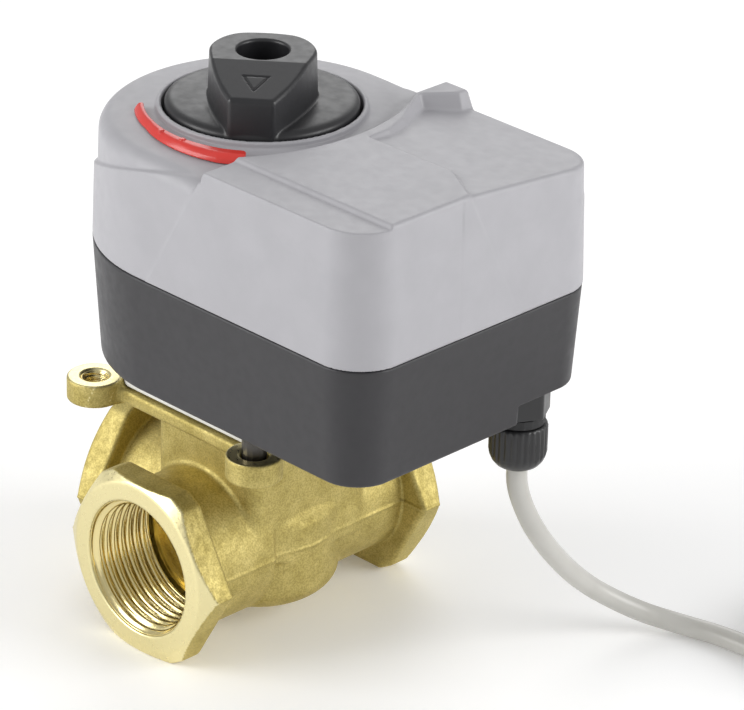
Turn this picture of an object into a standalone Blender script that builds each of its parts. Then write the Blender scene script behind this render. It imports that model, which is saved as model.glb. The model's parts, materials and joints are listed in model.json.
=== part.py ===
"""Electrically actuated three-way ball valve: brass body, plastic actuator, gear train and flying lead.

The stem axis is the Z axis, and z = 0 is the plane that the port hexagons rest on. Lengths are in
millimetres here, and to_object() turns them into metres. Ports A and B face -Y and +Y, and the common
port AB faces -X. The actuator's round end is over the stem and its square end points along +X.
"""

import math

import bmesh
import bpy
from mathutils import Vector

MM = 0.001

# Valve body
PORT_Z = 22.0
PORT_REACH = 39.0
HEX_FLATS = 44.0
HEX_LENGTH = 7.8
HEX_TRIM = 3.0
NECK_FRONT_R = 18.9
NECK_R = 17.8
THREAD_R = 16.3
THREAD_DEPTH = 18.8
TOWER_HALF_X = 17.5
TOWER_Y = (-18.0, 19.0)
FLANGE_HALF = 25.2
FLANGE_Z = (53.2, 56.9)
LUG_PITCH = 27.4
LUG_R = 6.7
LUG_Z = (52.9, 58.7)
LUG_HOLE_R = 3.2

# Ball, seats and stem
BALL_R = 13.0
BALL_BORE_R = 7.5
SEAT_R = 13.3
STEM_R = 4.9
STEM_SQUARE = 7.0

# Actuator housing
HALF_WIDTH = 39.0
SQUARE_END_X = 72.0
CORNER_R = 11.5
WALL = 2.6
BASE_Z = (67.5, 96.7)
BASE_DRAFT = 1.9
FLOOR_Z = 70.5
GLAND_STEP_Z = 72.6
GLAND_STEP_X = 48.0
GLAND_STEP_Y = 14.3
SEAL_Z = (96.85, 97.25)
COVER_Z = (97.4, 130.8)
COVER_DRAFT = 0.9
CAVITY_TOP = 124.0
DECK_INNER_Z = 128.0
DECK_OUTER_Z = 126.4
DECK_OUTER_R = 36.8
DECK_END_X = 20.7
PLATFORM_ARC_X = -20.0
PLATFORM_ARC_R = 49.5
LEDGE_Y = -28.4
LEDGE_Z = 129.7
SHOULDER_INSET = 0.85
WELL_R = 23.2
WELL_FLOOR_Z = 120.5
LIP_R = 24.3
LIP_Z = 129.4

# Knob and position scale
KNOB_HEADING = -50.0
KNOB_R = 22.5
KNOB_DISC_Z = (121.0, 131.3)
GRIP_TOP_Z = 142.3
GRIP_SLOPE = 0.245
GRIP_SLOPE_START = 7.0
GRIP_HALF_WIDTH = 12.6
GRIP_BACK = 10.6
POINTER_HALF_WIDTH = 5.0
POINTER_REACH = 22.2
GRIP_HOLE_R = 6.0
SCALE_R = (27.1, 29.4)
SCALE_Z = 129.3
SCALE_SPAN = (-132.0, -50.5)
SCALE_WIDENING = (1.2, 2.8)

# Gear train: output gear, second idler, first idler, motor pinion
GEAR_PLATE_Z = (90.3, 92.0)
OUTPUT_TEETH = 36
OUTPUT_MODULE = 1.4
IDLER_2_PINION_TEETH = 9
IDLER_2_WHEEL_TEETH = 32
IDLER_1_PINION_TEETH = 10
IDLER_1_WHEEL_TEETH = 30
MOTOR_TEETH = 9
SMALL_MODULE = 1.0
IDLER_2_HEADING = 26.0
IDLER_1_HEADING = -57.7
MOTOR_HEADING = -35.0
MOTOR_CENTRE = (47.0, -9.5)
MOTOR_R = 18.0
ARBOR_R = 1.5

# Cable gland and lead
GLAND = (61.5, 24.0)
CABLE_R = 2.5
COIL_CENTRE = (124.0, 93.0)
COIL_R = (20.0, 30.4)
COIL_HEIGHT = 10.3

COVER_POSTS = ((-17.5, -26.5), (-17.5, 26.5), (61.0, -29.0), (44.0, 31.0))
PILLARS = ((24.8, -22.6), (48.0, 23.0), (54.5, 10.0), (44.0, -22.2))


def clear_scene():
    for obj in list(bpy.data.objects):
        bpy.data.objects.remove(obj, do_unlink=True)


def new_collection(name, hidden=False):
    collection = bpy.data.collections.new(name)
    bpy.context.scene.collection.children.link(collection)
    collection.hide_render = hidden
    return collection


clear_scene()
PARTS = new_collection("zone_valve")
CUTTERS = new_collection("cutters", hidden=True)


def material(name, colour, roughness, metallic=0.0):
    made = bpy.data.materials.new(name)
    made.use_nodes = True
    shader = made.node_tree.nodes["Principled BSDF"]
    shader.inputs["Base Color"].default_value = (*colour, 1.0)
    shader.inputs["Roughness"].default_value = roughness
    shader.inputs["Metallic"].default_value = metallic
    return made


BRASS = material("brass", (0.66, 0.55, 0.26), 0.38, 1.0)
STEEL = material("steel", (0.55, 0.55, 0.56), 0.35, 1.0)
DARK_STEEL = material("dark_steel", (0.10, 0.10, 0.11), 0.4, 1.0)
GREY = material("grey_plastic", (0.47, 0.47, 0.50), 0.5)
CHARCOAL = material("charcoal_plastic", (0.075, 0.072, 0.08), 0.5)
BLACK = material("black_plastic", (0.02, 0.02, 0.021), 0.3)
RED = material("red_plastic", (0.72, 0.06, 0.04), 0.3)
WHITE = material("white_plastic", (0.82, 0.82, 0.80), 0.5)
RUBBER = material("rubber", (0.02, 0.02, 0.02), 0.8)
GREEN = material("circuit_board", (0.02, 0.18, 0.07), 0.5)
CABLE = material("cable_jacket", (0.62, 0.62, 0.59), 0.45)
BROWN = material("brown_wire", (0.20, 0.08, 0.03), 0.5)
BLUE = material("blue_wire", (0.03, 0.12, 0.50), 0.5)


# ---------------------------------------------------------------- modelling tools


def to_object(name, bm, finish=None):
    """Scales the mesh to metres and makes it a part, or a hidden cutter when it has no finish."""
    bmesh.ops.recalc_face_normals(bm, faces=bm.faces)
    return place_mesh(name, bm, finish)


def place_mesh(name, bm, finish):
    bmesh.ops.scale(bm, vec=(MM, MM, MM), verts=bm.verts)
    mesh = bpy.data.meshes.new(name)
    bm.to_mesh(mesh)
    bm.free()
    obj = bpy.data.objects.new(name, mesh)
    if finish is None:
        CUTTERS.objects.link(obj)
        obj.hide_render = True
        obj.display_type = "WIRE"
    else:
        PARTS.objects.link(obj)
        mesh.materials.append(finish)
        mesh.shade_smooth()
        mesh.set_sharp_from_angle(angle=math.radians(32))
    return obj


def prism(name, outline, z_low, z_high, finish=None, top=None):
    """A flat outline raised from z_low to z_high. top is the outline at z_high where the walls lean."""
    bm = bmesh.new()
    corners = [bm.verts.new((x, y, z_low)) for x, y in outline]
    bottom = bm.faces.new(corners)
    raised = bmesh.ops.extrude_face_region(bm, geom=[bottom])
    above = [item for item in raised["geom"] if isinstance(item, bmesh.types.BMVert)]
    bm.verts.index_update()
    places = {tuple(v.co[:2]): i for i, v in enumerate(corners)}
    for vert in above:
        target = (top or outline)[places[tuple(vert.co[:2])]]
        vert.co = (target[0], target[1], z_high)
    return to_object(name, bm, finish)


def block(name, low, high, finish=None):
    bm = bmesh.new()
    bmesh.ops.create_cube(bm, size=1.0)
    size = Vector(high) - Vector(low)
    middle = (Vector(high) + Vector(low)) / 2
    bmesh.ops.scale(bm, vec=size, verts=bm.verts)
    bmesh.ops.translate(bm, vec=middle, verts=bm.verts)
    return to_object(name, bm, finish)


def turned(name, profile, finish=None, steps=32, ring=True):
    """A profile of (radius, z) turned about Z. It runs down the outer side, and closes when it is a ring."""
    bm = bmesh.new()
    points = [bm.verts.new((r, 0.0, z)) for r, z in profile]
    for first, second in zip(points, points[1:]):
        bm.edges.new((first, second))
    if ring:
        bm.edges.new((points[-1], points[0]))
    obj = place_mesh(name, bm, finish)
    screw = obj.modifiers.new("turn", "SCREW")
    screw.steps = screw.render_steps = steps
    screw.use_merge_vertices = True
    screw.merge_threshold = 0.00001
    screw.use_smooth_shade = True
    return obj


def rod(name, radius, z_low, z_high, finish=None, steps=20, at=(0.0, 0.0)):
    profile = ((0.0, z_high), (radius, z_high), (radius, z_low), (0.0, z_low))
    obj = turned(name, profile, finish, steps, ring=False)
    obj.location = (at[0] * MM, at[1] * MM, 0.0)
    return obj


def tube_ring(name, inner, outer, z_low, z_high, finish=None, steps=20, at=(0.0, 0.0)):
    profile = ((inner, z_high), (outer, z_high), (outer, z_low), (inner, z_low))
    obj = turned(name, profile, finish, steps)
    obj.location = (at[0] * MM, at[1] * MM, 0.0)
    return obj


def aim(obj, heading):
    """Turns a shape made along +Z about the port centre: heading 0 faces -Y, and -90 faces -X."""
    obj.rotation_euler = (math.radians(90), 0.0, math.radians(heading))
    obj.location = (0.0, 0.0, PORT_Z * MM)
    return obj


def combine(obj, other, operation):
    step = obj.modifiers.new(operation.lower(), "BOOLEAN")
    step.operation = operation
    step.solver = "EXACT"
    step.object = other
    return obj


def cut(obj, *cutters):
    for cutter in cutters:
        combine(obj, cutter, "DIFFERENCE")
    return obj


def join(obj, *others):
    for other in others:
        combine(obj, other, "UNION")
    return obj


def arc(centre, radius, start, end, count):
    """Points on a circle from start to end, in degrees."""
    angles = [math.radians(start + (end - start) * i / count) for i in range(count + 1)]
    return [(centre[0] + radius * math.cos(a), centre[1] + radius * math.sin(a)) for a in angles]


def rounded_box(x_low, y_low, x_high, y_high, radius, count=3):
    return (
        arc((x_high - radius, y_low + radius), radius, -90, 0, count)
        + arc((x_high - radius, y_high - radius), radius, 0, 90, count)
        + arc((x_low + radius, y_high - radius), radius, 90, 180, count)
        + arc((x_low + radius, y_low + radius), radius, 180, 270, count)
    )


def housing_outline(inset, count=20):
    """The actuator seen from above: a half circle about the stem, straight sides and a square end."""
    half = HALF_WIDTH - inset
    end = SQUARE_END_X - inset
    corner = CORNER_R - inset
    return (
        arc((0.0, 0.0), half, 90, 270, count)
        + arc((end - corner, corner - half), corner, -90, 0, 4)
        + arc((end - corner, half - corner), corner, 0, 90, 4)
    )


def polar(centre, distance, heading):
    angle = math.radians(heading)
    return (centre[0] + distance * math.cos(angle), centre[1] + distance * math.sin(angle))


# ---------------------------------------------------------------- valve


def hexagon(flats, trim=0.0):
    """A hexagon with a corner on the local X axis. The corners away from that axis are trimmed flat."""
    corner = flats / math.sqrt(3)
    points = []
    for k in range(6):
        here = Vector(polar((0, 0), corner, 60 * k))
        if trim == 0.0 or k % 3 == 0:
            points.append(tuple(here))
            continue
        for neighbour in (k - 1, k + 1):
            towards = Vector(polar((0, 0), corner, 60 * neighbour)) - here
            points.append(tuple(here + towards.normalized() * trim))
    return points


def port_hexagon(name, heading):
    nut = prism(name, hexagon(HEX_FLATS, HEX_TRIM), PORT_REACH - HEX_LENGTH, PORT_REACH)
    face = HEX_FLATS / 2 - 0.8
    cone = (
        (0.0, PORT_REACH + 1.0),
        (face - 1.65, PORT_REACH + 1.0),
        (face + 4.3, PORT_REACH - 2.6),
        (face + 6.0, PORT_REACH - 4.0),
        (face + 6.0, PORT_REACH - HEX_LENGTH - 1.0),
        (0.0, PORT_REACH - HEX_LENGTH - 1.0),
    )
    chamfer = aim(turned(name + "_chamfer", cone, ring=False), heading)
    return combine(aim(nut, heading), chamfer, "INTERSECT")


def port_bore(name, heading, chamber, start):
    """A threaded socket and the chamber behind it. start is how far past the centre the chamber runs."""
    inner = PORT_REACH - THREAD_DEPTH - 2.4
    socket = [
        (0.0, PORT_REACH + 1.0),
        (THREAD_R + 1.6, PORT_REACH + 1.0),
        (THREAD_R, PORT_REACH - 0.6),
        (THREAD_R, inner),
        (chamber, inner),
    ]
    if start is None:
        far = [(r, -z) for r, z in socket[::-1]]
    else:
        far = [(chamber, start), (0.0, start)]
    return aim(turned(name, socket + far, ring=False), heading)


def valve_body():
    neck = PORT_REACH - HEX_LENGTH + 0.5
    front = ((0.0, neck), (NECK_FRONT_R, neck), (NECK_FRONT_R, 9.0), (0.0, 9.0))
    plain = ((0.0, neck), (NECK_R, neck), (NECK_R, 6.5), (0.0, 6.5))
    body = turned("valve_body", front, BRASS, ring=False)
    aim(body, 0)
    rear = aim(turned("neck_rear", plain, ring=False), 180)
    branch = aim(turned("neck_branch", plain, ring=False), -90)
    dome = (
        (0.0, 26.0), (19.5, 26.0), (19.5, 11.0), (18.3, 7.9), (14.8, 5.3),
        (9.6, 3.6), (5.2, 3.1), (5.0, 0.0), (0.0, 0.0),
    )
    tower = rounded_box(-TOWER_HALF_X, TOWER_Y[0], TOWER_HALF_X, TOWER_Y[1], 4.0)
    plate = rounded_box(-FLANGE_HALF, -FLANGE_HALF, FLANGE_HALF, FLANGE_HALF, 5.0)
    join(body, rear, branch, turned("chamber_dome", dome, steps=28, ring=False))
    join(body, prism("tower", tower, PORT_Z, FLANGE_Z[0] + 0.4), prism("flange", plate, *FLANGE_Z))
    for index, (x, y) in enumerate(lug_places()):
        join(body, rod(f"lug_{index}", LUG_R, *LUG_Z, steps=20, at=(x, y)))
    for label, heading in (("a", 0), ("b", 180), ("ab", -90)):
        join(body, port_hexagon("hexagon_" + label, heading))
    cut(body, port_bore("bore_through", 0, 13.6, None), port_bore("bore_branch", -90, 13.4, -4.3))
    blind = ((0.0, 14.0), (9.3, 14.0), (9.3, 0.0), (0.0, 0.0))
    cut(body, aim(turned("blind_pocket", blind, steps=24, ring=False), 90))
    stem_bore = ((0.0, 58.0), (5.3, 58.0), (5.3, 39.8), (7.0, 39.8), (7.0, 30.0), (0.0, 30.0))
    cut(body, turned("stem_bore", stem_bore, steps=24, ring=False))
    for index, (x, y) in enumerate(lug_places()):
        cut(body, rod(f"lug_hole_{index}", LUG_HOLE_R, 50.0, 60.0, steps=16, at=(x, y)))
    return body


def lug_places():
    return [(x, y) for x in (-LUG_PITCH, LUG_PITCH) for y in (-LUG_PITCH, LUG_PITCH)]


def seats():
    """A seat ring behind each port, held by a threaded retainer, and a plain support seat at the closed side."""
    hollow = [(math.sin(a) * SEAT_R, math.cos(a) * SEAT_R) for a in (0.62, 0.685, 0.75)]
    ring = [(hollow[0][0], 14.1), (12.6, 14.1), (12.6, 13.2), (9.3, 9.95)] + hollow[::-1]
    retainer = [(8.2, 19.6), (15.9, 19.6), (15.9, 18.1), (13.2, 18.1), (13.2, 14.5), (8.2, 14.5)]
    for label, heading in (("a", 0), ("b", 180), ("ab", -90)):
        aim(turned("seat_" + label, ring, WHITE, steps=20), heading)
        aim(turned("seat_retainer_" + label, retainer, BRASS, steps=20), heading)
    support = [(math.sin(a) * SEAT_R, math.cos(a) * SEAT_R) for a in (0.42, 0.52, 0.62)]
    closed = [(support[0][0], 13.7), (9.0, 13.7), (9.0, support[-1][1])] + support[::-1]
    aim(turned("seat_support", closed, WHITE, steps=24), 90)


def ball():
    """An L-port ball: it joins the branch to port A at rest, and the branch to port B after a quarter turn."""
    bm = bmesh.new()
    bmesh.ops.create_uvsphere(bm, u_segments=28, v_segments=16, radius=BALL_R)
    obj = to_object("ball", bm, STEEL)
    obj.location = (0.0, 0.0, PORT_Z * MM)
    for label, heading, radius in (("a", 0, BALL_BORE_R), ("ab", -90, BALL_BORE_R - 0.1)):
        way = ((0.0, 20.0), (radius, 20.0), (radius, -5.0 - radius / 9), (0.0, -5.0 - radius / 9))
        cut(obj, aim(turned("way_" + label, way, steps=24, ring=False), heading))
    return cut(obj, block("ball_slot", (-9.0, -2.3, 31.6), (9.0, 2.3, 40.0)))


def stem():
    profile = (
        (0.0, 60.0), (STEM_R, 60.0), (STEM_R, 50.0), (3.9, 50.0), (3.9, 47.6), (STEM_R, 47.6),
        (STEM_R, 45.6), (3.9, 45.6), (3.9, 43.2), (STEM_R, 43.2), (STEM_R, 38.4), (6.5, 38.4),
        (6.5, 36.0), (0.0, 36.0),
    )
    obj = turned("stem", profile, STEEL, steps=24, ring=False)
    half = STEM_SQUARE / 2
    join(obj, block("stem_square", (-half, -half, 57.0), (half, half, 66.5)))
    join(obj, block("stem_tang", (-5.6, -2.0, 32.0), (5.6, 2.0, 36.5)))
    for label, low in (("lower", 43.4), ("upper", 47.8)):
        tube_ring(f"stem_o_ring_{label}", 4.1, 5.15, low, low + 2.0, RUBBER)
    tube_ring("stem_washer", 5.15, 6.7, 38.6, 39.5, WHITE)
    return obj


def mounting():
    plate = rounded_box(-24.0, -24.0, 24.0, 24.0, 5.0)
    insulator = prism("insulating_plate", plate, FLANGE_Z[1] + 0.3, 61.2, WHITE)
    cut(insulator, rod("insulator_hole", 9.4, 50.0, 70.0))
    for index, y in enumerate((-LUG_PITCH, LUG_PITCH)):
        screw(f"mounting_screw_{index + 1}", (LUG_PITCH, y), 2.9, 53.5, 5.0, 70.8, 75.2, DARK_STEEL)


def screw(name, at, shank, tip_z, head, seat_z, top_z, finish=STEEL, up=True):
    """A plain screw along Z with its head at one end. The head is on top when up is set."""
    if up:
        profile = ((0.0, top_z), (head, top_z), (head, seat_z), (shank, seat_z), (shank, tip_z), (0.0, tip_z))
    else:
        profile = ((0.0, tip_z), (shank, tip_z), (shank, seat_z), (head, seat_z), (head, top_z), (0.0, top_z))
    obj = turned(name, profile, finish, steps=14, ring=False)
    obj.location = (at[0] * MM, at[1] * MM, 0.0)
    return obj


# ---------------------------------------------------------------- housing


def base_housing():
    low = housing_outline(BASE_DRAFT)
    high = housing_outline(0.0)
    obj = prism("base_housing", low, *BASE_Z, CHARCOAL, top=high)
    inner_low = housing_outline(BASE_DRAFT + WALL)
    inner_high = housing_outline(WALL - 0.1)
    cavity = prism("base_cavity", inner_low, FLOOR_Z, BASE_Z[1] + 1.5, top=inner_high)
    step = block("gland_step", (GLAND_STEP_X, GLAND_STEP_Y, 60.0), (80.0, 50.0, GLAND_STEP_Z))
    raised = (GLAND_STEP_X - 2.5, GLAND_STEP_Y - 2.5)
    cut(cavity, block("gland_floor", (*raised, 60.0), (80.0, 50.0, GLAND_STEP_Z + 2.6)))
    for index, place in enumerate(COVER_POSTS):
        cut(cavity, rod(f"base_post_{index}", 4.0, 60.0, 100.0, steps=16, at=place))
    for index, place in enumerate(((16.0, -17.0), (58.5, 14.0), (20.0, 23.0))):
        cut(cavity, rod(f"plate_post_{index}", 2.4, 60.0, GEAR_PLATE_Z[0] - 0.3, steps=12, at=place))
    cut(obj, cavity, step)
    boss = rounded_box(-22.0, -22.0, 22.0, 22.0, 4.0)
    join(obj, prism("base_boss", boss, 61.5, BASE_Z[0] + 0.6))
    cut(obj, rod("shaft_hole", 9.0, 55.0, 75.0))
    for index, y in enumerate((-LUG_PITCH, LUG_PITCH)):
        cut(obj, rod(f"mount_hole_{index}", 3.3, 55.0, 75.0, steps=16, at=(LUG_PITCH, y)))
    for index, place in enumerate(COVER_POSTS):
        low_z = GLAND_STEP_Z if place[0] > GLAND_STEP_X and place[1] > GLAND_STEP_Y else BASE_Z[0]
        holes = ((0.0, 110.0), (1.9, 110.0), (1.9, low_z + 3.5), (3.2, low_z + 3.5), (3.2, 55.0), (0.0, 55.0))
        hole = turned(f"post_hole_{index}", holes, steps=16, ring=False)
        hole.location = (place[0] * MM, place[1] * MM, 0.0)
        cut(obj, hole)
    cut(obj, rod("gland_hole", 6.4, 60.0, 85.0, at=GLAND))
    return obj


def deck_cutter():
    """Everything above the deck at the round end, up to the platform's arc."""
    reach = math.degrees(math.asin((DECK_OUTER_R - 8.3) / PLATFORM_ARC_R))
    edge = arc((PLATFORM_ARC_X, 0.0), PLATFORM_ARC_R, -reach, reach, 18)
    plan = [(-60.0, -60.0), (DECK_END_X, -60.0)] + edge + [(DECK_END_X, 60.0), (-60.0, 60.0)]
    region = prism("deck_region", plan, 110.0, 150.0)
    slope = (DECK_INNER_Z - DECK_OUTER_Z) / (DECK_OUTER_R - LIP_R)
    outside = DECK_INNER_Z - slope * (90.0 - LIP_R)
    cone = ((0.0, 160.0), (90.0, 160.0), (90.0, outside), (LIP_R, DECK_INNER_Z), (0.0, DECK_INNER_Z))
    return combine(region, turned("deck_cone", cone, steps=48, ring=False), "INTERSECT")


def ledge_cutter():
    profile = [(-60.0, LEDGE_Z), (LEDGE_Y - 1.1, LEDGE_Z), (LEDGE_Y + 1.0, LEDGE_Z + 2.1), (LEDGE_Y + 1.0, 150.0), (-60.0, 150.0)]
    return side_prism("ledge_cut", profile, DECK_END_X - 0.5, 90.0)


def side_prism(name, profile, x_low, x_high):
    """A profile of (y, z) run along X."""
    bm = bmesh.new()
    face = bm.faces.new([bm.verts.new((x_low, y, z)) for y, z in profile])
    moved = bmesh.ops.extrude_face_region(bm, geom=[face])
    verts = [item for item in moved["geom"] if isinstance(item, bmesh.types.BMVert)]
    bmesh.ops.translate(bm, vec=(x_high - x_low, 0, 0), verts=verts)
    return to_object(name, bm)


def pocket_cutter():
    """The sunken corner: its floor falls away towards +Y, and the rim beside the deck stays up as a fin."""
    fin = arc((PLATFORM_ARC_X + 5.4, 0.0), PLATFORM_ARC_R - 0.9, 10, 34, 6)
    plan = [(34.2, 2.0), (59.0, 2.5), (74.0, -6.6), (90.0, -6.6), (90.0, 60.0), (30.4, 60.0), (30.4, 34.6)]
    plan += [(25.0, 28.0)] + fin[::-1][1:]
    region = prism("pocket_region", plan, 110.0, 150.0)
    fall = -0.094
    floor = [(-20.0, 129.9 - fall * -21.0), (60.0, 129.9 + fall * 59.0), (60.0, 150.0), (-20.0, 150.0)]
    return combine(region, side_prism("pocket_floor", floor, 0.0, 95.0), "INTERSECT")


def shoulder_cutter():
    """The thin skin taken off the round end above a curved line that dips towards -X."""
    line = arc((38.0, -32.4), 160.0, 96, 120, 10)
    profile = [(x, z) for x, z in line if x < DECK_END_X] + [(-50.0, 150.0), (DECK_END_X, 150.0)]
    profile = [(DECK_END_X, 126.66)] + profile
    bm = bmesh.new()
    face = bm.faces.new([bm.verts.new((x, -60.0, z)) for x, z in profile])
    moved = bmesh.ops.extrude_face_region(bm, geom=[face])
    verts = [item for item in moved["geom"] if isinstance(item, bmesh.types.BMVert)]
    bmesh.ops.translate(bm, vec=(0, 120.0, 0), verts=verts)
    skin = to_object("shoulder_skin", bm)
    inner = prism(
        "shoulder_inner",
        housing_outline(SHOULDER_INSET),
        COVER_Z[0],
        COVER_Z[1] + 2.0,
        top=housing_outline(SHOULDER_INSET + COVER_DRAFT),
    )
    return cut(skin, inner)


def cover():
    obj = prism("cover", housing_outline(0.0), *COVER_Z, GREY, top=housing_outline(COVER_DRAFT))
    cut(obj, deck_cutter(), ledge_cutter(), pocket_cutter(), shoulder_cutter())
    lip = [(WELL_R - 1.0, LIP_Z), (LIP_R, LIP_Z), (LIP_R, DECK_INNER_Z - 1.5), (WELL_R - 1.0, DECK_INNER_Z - 1.5)]
    join(obj, turned("lip", lip, steps=40))
    cavity = prism(
        "cover_cavity", housing_outline(WALL), COVER_Z[0] - 2.0, CAVITY_TOP, top=housing_outline(WALL + COVER_DRAFT)
    )
    cut(cavity, tube_ring("well_wall", 5.0, WELL_R + 2.4, WELL_FLOOR_Z - 2.2, CAVITY_TOP + 5.0, steps=32))
    for index, place in enumerate(COVER_POSTS):
        cut(cavity, rod(f"cover_boss_{index}", 4.0, 90.0, 140.0, steps=16, at=place))
    well = ((0.0, 140.0), (WELL_R, 140.0), (WELL_R, WELL_FLOOR_Z), (7.6, WELL_FLOOR_Z), (7.6, 110.0), (0.0, 110.0))
    cut(obj, cavity, turned("well", well, steps=40, ring=False))
    for index, place in enumerate(COVER_POSTS):
        cut(obj, rod(f"boss_hole_{index}", 1.9, 90.0, 107.0, steps=12, at=place))
    return obj


def housing_seal():
    obj = prism("housing_seal", housing_outline(1.3), *SEAL_Z, RUBBER)
    return cut(obj, prism("seal_inside", housing_outline(WALL - 0.3), SEAL_Z[0] - 1, SEAL_Z[1] + 1))


def cover_screws():
    for index, place in enumerate(COVER_POSTS):
        screw(f"cover_screw_{index + 1}", place, 1.5, 105.5, 2.8, 70.6, 68.2, STEEL, up=False)


# ---------------------------------------------------------------- knob, scale and output shaft


def knob():
    low, high = KNOB_DISC_Z
    disc = ((0.0, high), (KNOB_R - 2.2, high), (KNOB_R - 0.6, high - 0.7), (KNOB_R, high - 2.2), (KNOB_R, low), (0.0, low))
    obj = turned("knob", disc, BLACK, steps=48, ring=False)
    obj.rotation_euler = (0.0, 0.0, math.radians(KNOB_HEADING))
    flank = [(POINTER_REACH, POINTER_HALF_WIDTH), (11.5, 11.0), (8.6, 12.2), (5.4, GRIP_HALF_WIDTH)]
    flank += arc((2.4 - GRIP_BACK + 6.0, GRIP_HALF_WIDTH - 8.0), 8.0, 90, 165, 5)
    plan = flank + [(-GRIP_BACK, 0.0)] + [(x, -y) for x, y in flank[::-1]]
    grip = prism("grip", plan, high - 2.0, GRIP_TOP_Z + 5.0)
    drop = GRIP_SLOPE * (30.0 - GRIP_SLOPE_START)
    side = [(-20.0, 125.0), (30.0, 125.0), (30.0, GRIP_TOP_Z - drop)]
    side += [(GRIP_SLOPE_START, GRIP_TOP_Z), (-20.0, GRIP_TOP_Z)]
    bm = bmesh.new()
    face = bm.faces.new([bm.verts.new((x, -20.0, z)) for x, z in side])
    moved = bmesh.ops.extrude_face_region(bm, geom=[face])
    verts = [item for item in moved["geom"] if isinstance(item, bmesh.types.BMVert)]
    bmesh.ops.translate(bm, vec=(0, 40.0, 0), verts=verts)
    combine(grip, to_object("grip_side", bm), "INTERSECT")
    grip.rotation_euler = obj.rotation_euler
    bpy.data.objects["grip_side"].rotation_euler = obj.rotation_euler
    join(obj, grip)
    hole = ((0.0, 150.0), (GRIP_HOLE_R, 150.0), (GRIP_HOLE_R, 128.0), (1.9, 128.0), (1.9, 115.0), (0.0, 115.0))
    cut(obj, turned("grip_hole", hole, steps=28, ring=False))
    cut(obj, block("knob_socket", (-4.3, -4.3, 110.0), (4.3, 4.3, 124.7)))
    return obj


def position_scale():
    inner, outer = SCALE_R
    start, end = SCALE_SPAN
    inside, outside = [], []
    for i in range(21):
        heading = start + (end - start) * i / 20
        wider = min(max((heading + 108.0) / 46.0, 0.0), 1.0)
        inside.append(polar((0, 0), inner + SCALE_WIDENING[0] * wider, heading))
        outside.append(polar((0, 0), outer + SCALE_WIDENING[1] * wider, heading))
    plan = outside + inside[::-1]
    outer += SCALE_WIDENING[1]
    obj = prism("position_scale", plan, 120.0, SCALE_Z, RED)
    under = DECK_INNER_Z + 0.3
    slope = (DECK_INNER_Z - DECK_OUTER_Z) / (DECK_OUTER_R - LIP_R)
    seat = ((0.0, 140.0), (outer - 1.6, 140.0), (outer - 1.6, SCALE_Z), (outer, under - slope * 8.0 + 0.4))
    seat += ((outer, under - slope * (outer - LIP_R)), (LIP_R, under), (0.0, under))
    return combine(obj, turned("scale_seat", seat, steps=96, ring=False), "INTERSECT")


def output_shaft():
    profile = (
        (0.0, 118.0), (6.0, 118.0), (6.0, 100.7), (8.0, 100.7), (8.0, 73.2),
        (11.5, 73.2), (11.5, 70.8), (8.6, 70.8), (8.6, 61.9), (0.0, 61.9),
    )
    obj = turned("output_shaft", profile, WHITE, steps=28, ring=False)
    join(obj, block("shaft_square", (-4.0, -4.0, 117.0), (4.0, 4.0, 124.3)))
    half = STEM_SQUARE / 2 + 0.3
    cut(obj, block("shaft_socket", (-half, -half, 55.0), (half, half, 67.5)))
    cut(obj, rod("shaft_screw_hole", 1.9, 108.0, 130.0, steps=12))
    tube_ring("shaft_seal", 6.15, 7.4, 118.4, 120.3, RUBBER)
    screw("knob_screw", (0.0, 0.0), 1.5, 109.0, 4.2, 128.3, 131.0)
    return obj


def cam(name, z_low, lobe_start):
    plan = []
    for i in range(36):
        angle = lobe_start + 10.0 * i
        radius = 10.8 if i < 6 else 9.4
        plan.append(polar((0, 0), radius, angle))
    obj = prism(name, plan, z_low, z_low + 2.8, BLACK)
    return cut(obj, rod(name + "_bore", 6.25, z_low - 1, z_low + 4))


# ---------------------------------------------------------------- gear train


def gear_outline(teeth, module, phase, centre=(0.0, 0.0)):
    """Straight-sided teeth, thinned for backlash, with a tooth at the phase angle in degrees."""
    pitch = teeth * module / 2
    tip = pitch + 0.85 * module
    root = pitch - 1.2 * module
    half = math.pi * module / 4 - 0.14 * module
    lean = math.tan(math.radians(20))
    at_tip = math.degrees((half - 0.85 * module * lean) / tip)
    at_root = math.degrees(min(half + 0.75 * module * lean, 0.44 * math.pi * module) / root)
    points = []
    for k in range(teeth):
        middle = phase + 360.0 * k / teeth
        points += [polar(centre, root, middle - at_root), polar(centre, tip, middle - at_tip)]
        points += [polar(centre, tip, middle + at_tip), polar(centre, root, middle + at_root)]
    return points


def meshed_phase(teeth, phase, other_teeth, heading):
    """The phase of the gear that lies at this heading from the first one and meshes with it."""
    lead = heading - phase
    return heading + 180.0 + 180.0 / other_teeth + lead * teeth / other_teeth


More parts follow.
